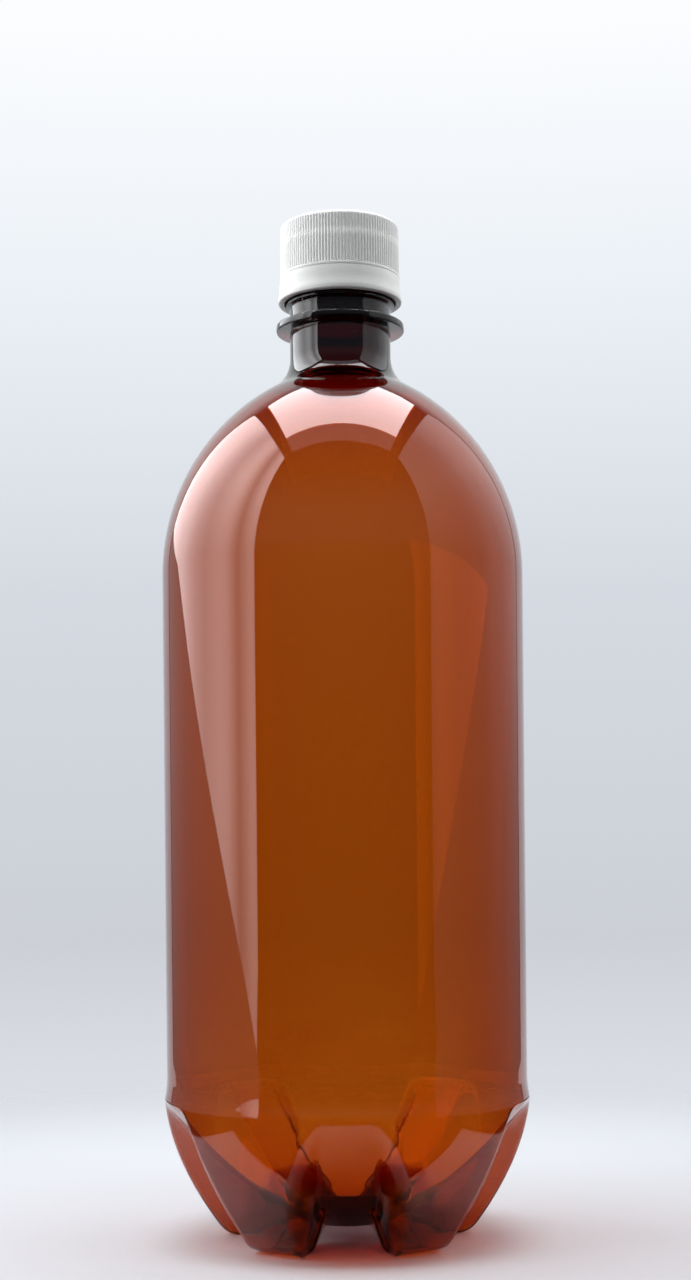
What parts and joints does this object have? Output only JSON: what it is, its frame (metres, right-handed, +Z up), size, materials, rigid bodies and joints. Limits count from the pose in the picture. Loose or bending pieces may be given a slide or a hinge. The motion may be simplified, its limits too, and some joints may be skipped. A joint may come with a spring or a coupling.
{
  "type": "drinks bottle",
  "caption": "Amber plastic bottle for fizzy drinks: straight body, five-foot petal base and screw neck with a support ring, closed by a ribbed white screw cap with a tamper band.",
  "frame": {"origin": "on the surface the bottle stands on, at the bottle's axis", "axes": "+Z up along the bottle's axis; a valley of the five-foot base faces -Y and a foot points to +Y"},
  "size_m": [0.0942, 0.0942, 0.2611],
  "materials": {
    "amber_plastic": "clear amber PET, glossy",
    "white_plastic": "moulded white polypropylene, satin",
    "liner_plastic": "soft sealing liner, matt"
  },
  "bodies": {
    "bottle": {"bottle": "amber_plastic"},
    "liner": {"cap_liner": "liner_plastic"},
    "closure": {"cap_shell": "white_plastic", "tamper_band": "white_plastic", "band_bridges": "white_plastic"}
  },
  "joints": [
    {"name": "cap_lift", "type": "slide", "parent": "bottle", "child": "liner", "axis": [0, 0, 1], "range_m": [-0.0044, 0.0382]},
    {"name": "cap_turn", "type": "hinge", "parent": "liner", "child": "closure", "pos_m": [0, 0, 0.248], "axis": [0, 0, 1], "range_deg": [-498, 4320]}
  ],
  "couplings": [
    {"joint": "cap_lift", "follows": "cap_turn", "m_per_rad": 0.00050611}
  ]
}
